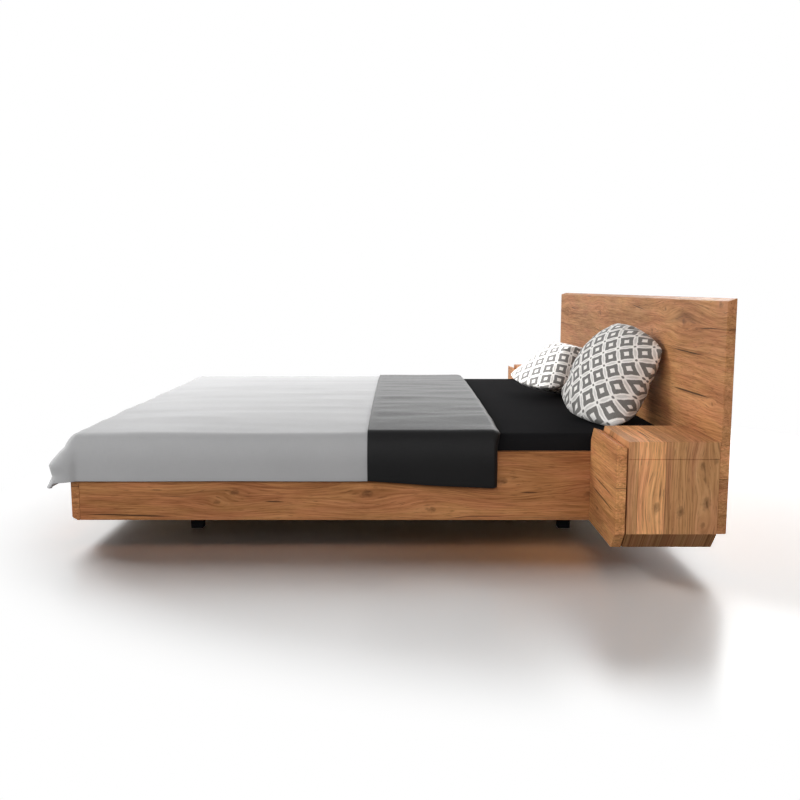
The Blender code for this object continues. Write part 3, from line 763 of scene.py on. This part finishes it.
def build_turnback():
    """Lies on the duvet and rolls down over its head end to the sheet."""
    drape = Drape(band_lift)
    roll = band_high.x - duvet_high.x
    start, end = band_low.x, duvet_high.x + cloth_gap / 2
    fall = drape.top - Drape(-duvet_skin + cloth_gap).top
    side_reach = hang_length(band_head_drop, drape.radius)
    across = drape.across(band_head_drop)

    def place(x, y):
        share = (x - start) / (end - start)
        drop = band_foot_drop * (1 - share) + band_head_drop * share
        past = drape.past_edge(y) * (hang_length(drop, drape.radius) / side_reach)
        y_cut = math.copysign(min(abs(y), drape.flat_half) + past, y)
        point = drape.point(x, y_cut, drop, drop)
        point.z += folds(x, y, BAND_FOLDS) * min(1.0, (x - start) / band_fold_run)
        return point, (x, y_cut)

    laid = [[place(x, y) for y in across] for x in steps(start, end)]
    last = laid[-1]
    for number in range(roll_steps):
        angle = math.pi / 2 * (number + 1) / roll_steps
        row = []
        for (point, flat), y in zip(last, across):
            turn = min(math.pi / 2, drape.past_edge(y) / drape.radius)
            lower = edge_fall * edge_share(abs(y), drape.flat_half) * math.cos(turn)
            way = Vector((0, -math.copysign(math.sin(turn), y), -math.cos(turn)))
            down = way * (fall - lower) * (1 - math.cos(angle))
            ahead = roll * math.sin(angle) * (1 - side_roll_share * math.sin(turn))
            row.append((point + down + Vector((ahead, 0, 0)), (flat[0] + roll * angle, flat[1])))
        laid.append(row)
    material = cotton("charcoal_cotton", (0.019, 0.019, 0.0195), (0.015, 0.015, 0.0155), 0.0011,
                      rough=0.42, specular=0.065)
    band = grid_piece("duvet_turned_back", laid, material, band_thickness, rim=0.0025)
    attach(band, "frame")
    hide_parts("duvet_turnback")


sheet_radius = 0.03
sheet_thickness = 0.0012
sheet_waver = 0.0008
# How far the sheet draws in on the sides, as a share of the rounding
sheet_draw_in = 0.0012


def build_sheet():
    """A black fitted sheet, stretched over the mattress and round its lower edge."""
    low, high, radius = mattress_low, mattress_high, sheet_radius
    top = high.z - crown_height
    height = top - low.z
    quarter = radius * math.pi / 2
    reach = 2 * quarter + height - 2 * radius
    flat_x, flat_y = (high.x - low.x) / 2 - radius, (high.y - low.y) / 2 - radius

    def profile(distance):
        if distance < quarter:
            angle = distance / radius
            return radius * math.sin(angle), radius * (1 - math.cos(angle))
        if distance < reach - quarter:
            return radius, radius + distance - quarter
        angle = (reach - distance) / radius
        return radius * math.sin(angle), height - radius * (1 - math.cos(angle))

    def place(x, y):
        past_x, past_y = max(0.0, abs(x) - flat_x), max(0.0, abs(y) - flat_y)
        angle = math.atan2(past_y, past_x)
        out, down = profile(min(reach, max(past_x, past_y)))
        base_x = math.copysign(min(abs(x), flat_x), x)
        base_y = math.copysign(min(abs(y), flat_y), y)
        point = Vector((middle_x + base_x, base_y, top - down))
        if past_x <= 0 and past_y <= 0:
            point.z += crown_at(point.x, point.y)
            point.z += smooth_noise(x * 3, y * 3, 40.0) * sheet_waver - sheet_waver
        else:
            uneven = 1 + smooth_noise(x * 9, y * 9, point.z * 4 + 44.0)
            tight = 1 - sheet_draw_in * uneven
            point.x += math.copysign(out * math.cos(angle), x) * tight
            point.y += math.copysign(out * math.sin(angle), y) * tight
        return point, (x, y)

    laid = [[place(x, y) for y in steps(-flat_y - reach, flat_y + reach)]
            for x in steps(-flat_x - reach, flat_x + reach)]
    material = cotton("black_cotton", (0.015, 0.015, 0.016), (0.012, 0.012, 0.013), 0.0008,
                      rough=0.9, specular=0.005)
    sheet = grid_piece("fitted_sheet", laid, material, sheet_thickness)
    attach(sheet, "frame")
    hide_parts("mattress")


# Cushions: turn about Z, lean from upright and roll in degrees, thickness in metres, how much
# of each corner is cut off, then the print's turn in degrees and its shift in cells
Cushion = namedtuple("Cushion", "turn lean roll thickness cut_share print_turn print_shift")
CUSHIONS = {"left": Cushion(29.3, 31.0, 161.6, 0.208, 0.13, 48.0, (0.788, 0.537)),
            "right": Cushion(45.6, 73.1, -22.3, 0.235, 0.16, 35.8, (0.230, 1.078))}
cushion_width = 0.341
panel_width = 0.40
cushion_cuts = 44
first_rise = 0.02
fill_out = 0.06
pucker_turns, pucker_height = 42, 0.0015
print_pitch = 0.0592
cushion_thread = 0.0013
# How the sewn cloth gives way while the cushion fills, without weight
FILLING = {"quality": 7, "mass": 0.25, "tension_stiffness": 40.0, "compression_stiffness": 40.0,
           "shear_stiffness": 12.0, "bending_stiffness": 0.06, "tension_damping": 12.0,
           "air_damping": 4.0, "use_pressure": True, "uniform_pressure_force": 5.0}
filling_frames = 24
# The corner that the near cushion stands on: how far up and how much it spreads and sinks
stand_reach = 0.13
most_spread, spread_start, spread_power = 1.75, 0.02, -0.30
sink = 0.006


def lattice_cotton(name, turn, shift):
    """A printed trellis: rounded squares with pale middles between double pale lines."""
    graph = Finish(name)
    grid, x, y = graph.cloth_place()
    along = math.cos(math.radians(turn)) / print_pitch
    aside = math.sin(math.radians(turn)) / print_pitch
    wobble = graph.scaled(graph.noise(grid, scale=90.0), 0.07, 0.465)

    def off_middle(direction, shift):
        """How far a place is from the middle of its cell, one way, up to a half."""
        cells = graph.add(graph.add(graph.dot(grid, direction), shift), wobble)
        return graph.distance(graph.math("FRACT", cells), 0.5)

    p, q = off_middle((-along, -aside, 0), shift[0]), off_middle((-aside, along, 0), shift[1])
    # Leaf shapes of two pale arcs lie between neighbours, a dark dot where their tips meet
    to_p, to_q = graph.less(0.5, p), graph.less(0.5, q)
    sides = []
    for to_edge, along_side in ((to_p, q), (to_q, p)):
        swell = graph.math("POWER", graph.math("COSINE", graph.times(along_side, math.pi)), 0.8)
        sides.append(graph.less(to_edge, graph.times(swell, 0.142)))
    off_leaf = graph.math("MINIMUM", *sides)
    tip = graph.math("SQRT", graph.add(graph.times(to_p, to_p), graph.times(to_q, to_q)))
    out = graph.larger(p, q)
    ring = graph.times(graph.ease(off_leaf, -0.012, 0.014), graph.ease(out, 0.128, 0.158))
    ring = graph.times(ring, graph.ease(out, 0.392, 0.366))
    vein = graph.times(graph.ease(off_leaf, -0.065, -0.085), 0.30)
    dot = graph.ease(tip, 0.085, 0.060)
    grey = graph.larger(graph.larger(ring, vein), dot)
    slub = graph.slubs(x, y, 60.0, 1300.0)
    tone = graph.times(slub, 0.5)
    printed = graph.ramp(tone, ((0.35, (0.140, 0.134, 0.126)), (0.65, (0.235, 0.227, 0.215))))
    pale = graph.ramp(tone, ((0.35, (0.860, 0.830, 0.800)), (0.65, (0.960, 0.935, 0.905))))
    weave = graph.crossing(x, y, 2 * math.pi / cushion_thread)
    height = graph.scaled(weave, 0.5, graph.times(slub, 0.7))
    graph.set(Base_Color=graph.mix(grey, pale, printed), Roughness=0.85, Sheen_Weight=0.15,
              Specular_IOR_Level=0.25, Normal=graph.bump(height, 0.35, 0.0005))
    return graph.material


def flat_cushion(name, cut_share):
    """Two square panels sewn round their edge, slightly apart in the middle."""
    shape = bmesh.new()
    layer = shape.loops.layers.uv.new("cloth")
    made, count = {}, cushion_cuts

    def cut(i, j):
        """Where a grid place lies on the panel, which has blunt corners, and its height."""
        s, t = 2 * i / count - 1, 2 * j / count - 1
        size = panel_width / 2
        blunt = 1 - cut_share * s * s * t * t
        return size * s * blunt, size * t * blunt, first_rise * (1 - s * s) * (1 - t * t)

    def vert(face_side, i, j):
        border = i in (0, count) or j in (0, count)
        key = (0 if border else face_side, i, j)
        if key not in made:
            x, y, rise = cut(i, j)
            made[key] = shape.verts.new((x, y, face_side * rise))
        return made[key]

    for face_side in (1, -1):
        for i in range(count):
            for j in range(count):
                places = ((i, j), (i + 1, j), (i + 1, j + 1), (i, j + 1))[::face_side]
                add_face(shape, layer, [vert(face_side, a, b) for a, b in places],
                         [cut(a, b)[:2] for a, b in places])
    return finished_piece(name, shape)


def inflate(piece):
    """Blow the sewn panels up as cloth and keep the result in the mesh."""
    change = modify(piece, "inflate", "CLOTH")
    with_settings(change.settings, FILLING)
    change.settings.effector_weights.gravity = 0.0
    change.collision_settings.use_collision = False
    scene = bpy.context.scene
    for number in range(1, filling_frames + 1):
        scene.frame_set(number)
    seen = piece.evaluated_get(bpy.context.evaluated_depsgraph_get())
    mesh = bpy.data.meshes.new_from_object(seen)
    piece.modifiers.clear()
    piece.data = mesh
    scene.frame_set(1)


def fit_cushion(piece, thickness):
    """Scale the swollen form to the cushion's own width and thickness, pucker its edge."""
    places = np.array([vert.co for vert in piece.data.vertices])
    corner = np.abs(places[:, 0]).max()
    share = np.clip(1 - (places[:, :2] / corner) ** 2, 0, 1)
    places[:, :2] *= 1 + fill_out * share[:, ::-1]
    for place in places:
        edge = min(1.0, max(abs(place[0]), abs(place[1])) / corner) ** 8
        pucker = smooth_noise(*(place[:2] * pucker_turns), 60.0 + np.sign(place[2]))
        place[2] += pucker_height * edge * pucker
    places[:, :2] *= cushion_width / 2 / corner
    places[:, 2] *= thickness / 2 / np.abs(places[:, 2]).max()
    for vert, place in zip(piece.data.vertices, places):
        vert.co = place


def cushion_stand(own):
    turn, lean, roll = (Matrix.Rotation(math.radians(angle), 3, axis) for angle, axis
                        in ((own.turn, "Z"), (own.lean, "Y"), (own.roll, "Z")))
    upright = Matrix(((0, 0, -1), (-1, 0, 0), (0, 1, 0)))
    return (turn @ lean @ upright @ roll).to_4x4()


def rest_on_corner(piece, middle):
    """The weight of the filling spreads the corner that the cushion stands on."""
    lowest = min((vert.co for vert in piece.data.vertices), key=lambda place: place.z).copy()
    drop = lowest.z - (mattress_high.z - sink)
    for vert in piece.data.vertices:
        up = (vert.co.z - lowest.z) / stand_reach
        if up < 1:
            share = (vert.co.z - lowest.z) / (middle.z - lowest.z)
            axis = lowest.lerp(middle, share)
            spread = min(most_spread, (up + spread_start) ** spread_power)
            vert.co.x = axis.x + (vert.co.x - axis.x) * spread
            vert.co.y = axis.y + (vert.co.y - axis.y) * spread
            vert.co.z -= drop * (1 - up) ** 2


def build_cushion(label, own):
    low, high = corners(f"pillow_{label}")
    middle = (low + high) / 2
    piece = flat_cushion(f"cushion_{label}", own.cut_share)
    inflate(piece)
    fit_cushion(piece, own.thickness)
    piece.data.transform(Matrix.Translation(middle) @ cushion_stand(own))
    if label == "left":
        rest_on_corner(piece, middle)
    piece.data.materials.append(lattice_cotton(f"lattice_{label}", own.print_turn,
                                               own.print_shift))
    modify(piece, "soft", "SUBSURF", levels=1, render_levels=1)
    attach(piece, "frame")
    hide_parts(f"pillow_{label}")


core_gap = 0.003


def ticking():
    graph = Finish("ticking")
    place = graph.place()
    x, y = graph.dot(place, (1, 0, 0)), graph.dot(place, (0, 1, 0))
    quilt = graph.crossing(graph.add(x, y), graph.less(x, y), 40.0)
    weave = graph.noise(place, scale=700.0)
    graph.set(Base_Color=graph.ramp(weave, ((0.3, (0.62, 0.61, 0.58)), (0.7, (0.75, 0.74, 0.71)))),
              Roughness=0.9,
              Normal=graph.bump(graph.add(quilt, graph.times(weave, 0.2)), 0.6, 0.004))
    return graph.material


def build_mattress_core():
    """The mattress inside its sheet, a little smaller all round."""
    low = mattress_low + Vector((core_gap, core_gap, core_gap))
    high = mattress_high - Vector((core_gap, core_gap, core_gap + crown_height))
    shape = bmesh.new()
    bmesh.ops.create_cube(shape, size=1.0)
    bmesh.ops.scale(shape, vec=high - low, verts=shape.verts)
    bmesh.ops.translate(shape, vec=(low + high) / 2, verts=shape.verts)
    core = finished_piece("mattress_core", shape)
    modify(core, "edges", "BEVEL", width=sheet_radius, segments=5)
    core.data.materials.append(ticking())
    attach(core, "frame")
    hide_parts("mattress")


# Floor, light and background
floor_width = 60.0
# The floor fades to white between these distances from this place
white_middle = (0.6, 0, 0)
white_from, white_full = 1.80, 2.2
bed_middle = Vector((0, 0, 0.3))
softbox_distance = 5.0
world_light = 0.006


def build_floor():
    bpy.ops.mesh.primitive_plane_add(size=floor_width, location=(0, 0, 0))
    floor = bpy.context.object
    floor.name = "floor"
    graph = Finish("pale_floor")
    place = graph.place()
    paths = graph.node("ShaderNodeLightPath").outputs
    cloud = graph.noise(place, scale=3.0, detail=3.0)
    seen_white = graph.ramp(cloud, ((0.3, (2.00, 2.00, 2.00)), (0.7, (2.05, 2.05, 2.05))))
    graph.set(Base_Color=graph.mix(paths["Is Camera Ray"], (0.50, 0.50, 0.50), seen_white),
              Roughness=0.25, Specular_IOR_Level=0.5)
    glow = graph.fed("ShaderNodeEmission", (1, 1, 1, 1))
    far = graph.fed("ShaderNodeVectorMath", place, white_middle, operation="DISTANCE")
    seen = graph.larger(paths["Is Camera Ray"], paths["Is Glossy Ray"])
    white = graph.times(graph.ease(far.outputs["Value"], white_from, white_full), seen)
    blend = graph.fed("ShaderNodeMixShader", white, graph.shader.outputs[0], glow.outputs[0])
    graph.feed(graph.tree.nodes["Material Output"].inputs["Surface"], blend.outputs[0])
    floor.data.materials.append(graph.material)


def build_world():
    """Even light from all round, white to the camera and in reflections."""
    world = bpy.data.worlds.new("studio")
    bpy.context.scene.world = world
    world.use_nodes = True
    graph = Graph(world.node_tree)
    paths = graph.node("ShaderNodeLightPath").outputs
    seen = graph.larger(paths["Is Camera Ray"], paths["Is Glossy Ray"])
    seen = graph.larger(seen, paths["Is Transmission Ray"])
    strength = graph.fed("ShaderNodeMapRange", seen, 0.0, 1.0, world_light)
    background = graph.tree.nodes["Background"]
    background.inputs["Color"].default_value = (1, 1, 1, 1)
    graph.feed(background.inputs["Strength"], strength.outputs[0])
    bpy.context.scene.view_settings.view_transform = "Standard"


def around(bearing, height_angle):
    """A place off the bed's middle, in degrees; bearing 0 is the far side, 90 the head."""
    turn, rise = math.radians(bearing), math.radians(height_angle)
    way = Vector((math.sin(turn) * math.cos(rise), math.cos(turn) * math.cos(rise), math.sin(rise)))
    return bed_middle + softbox_distance * way


def area_light(name, place, aim, size, watts, only=(), spared=()):
    """A lamp that lights all there is, or only these pieces, or all but the spared."""
    data = bpy.data.lights.new(name, "AREA")
    data.shape = "RECTANGLE"
    data.size, data.size_y = size
    data.energy = watts
    light = put_in_scene(name, data)
    light.location = place
    light.rotation_euler = (Vector(aim) - Vector(place)).to_track_quat("-Z", "Y").to_euler()
    light.visible_camera = False
    if only or spared:
        chosen = bpy.data.collections.new(f"{name}_{'reaches' if only else 'skips'}")
        for piece in only or spared:
            chosen.objects.link(bpy.data.objects[piece])
        light.light_linking.receiver_collection = chosen
    if spared:
        for linked in chosen.collection_objects:
            linked.light_linking.link_state = "EXCLUDE"


def build_lights():
    """Softboxes all round, and cards for single pieces. The lamps on the camera's side spare
    the floor, which keeps the shadow under the bed deep."""
    area_light("far_softbox", around(0, 35), bed_middle, (6.0, 2.0), 26)
    area_light("far_card", (-0.1, 2.2, 0.98), (-0.1, 0.3, 0.42), (3.6, 0.7), 22,
               only=("duvet_cloth", "duvet_turned_back", "fitted_sheet", "cushion_right"))
    area_light("far_cushion_card", (-0.6, 1.3, 1.9), (0.82, 0.2, 0.5), (1.0, 1.0), 105,
               only=("cushion_right",))
    area_light("near_cushion_card", (-0.4, -0.8, 2.4), (0.85, -0.6, 0.55), (1.0, 1.0), 6,
               only=("cushion_left",))
    for name, bearing, height_angle, size, watts, spared in (
            ("far_foot_softbox", -65, 35, (2.5, 1.0), 112, ()),
            ("far_head_softbox", 40, 33, (2.5, 1.4), 110, ()),
            ("head_strip", 115, 12, (3.0, 1.0), 17, ()),
            ("far_head_strip", 65, 12, (3.0, 1.0), 34, ()),
            ("foot_softbox", -90, 20, (3.0, 1.5), 85, ("floor",)),
            ("near_softbox", 180, 20, (5.0, 1.5), 93, ("floor",)),
            ("near_foot_softbox", -135, 22, (3.0, 1.5), 46, ("floor",))):
        area_light(name, around(bearing, height_angle), bed_middle, size, watts, spared=spared)


build_camera()
finish_frame()
for label, side in SIDES:
    finish_nightstand(label, side, NIGHTSTAND_SEEDS[label])
finish_hidden_wood()
finish_metal()
build_mattress_core()
build_sheet()
build_duvet()
build_turnback()
for label, own in CUSHIONS.items():
    build_cushion(label, own)
build_floor()
build_world()
build_lights()
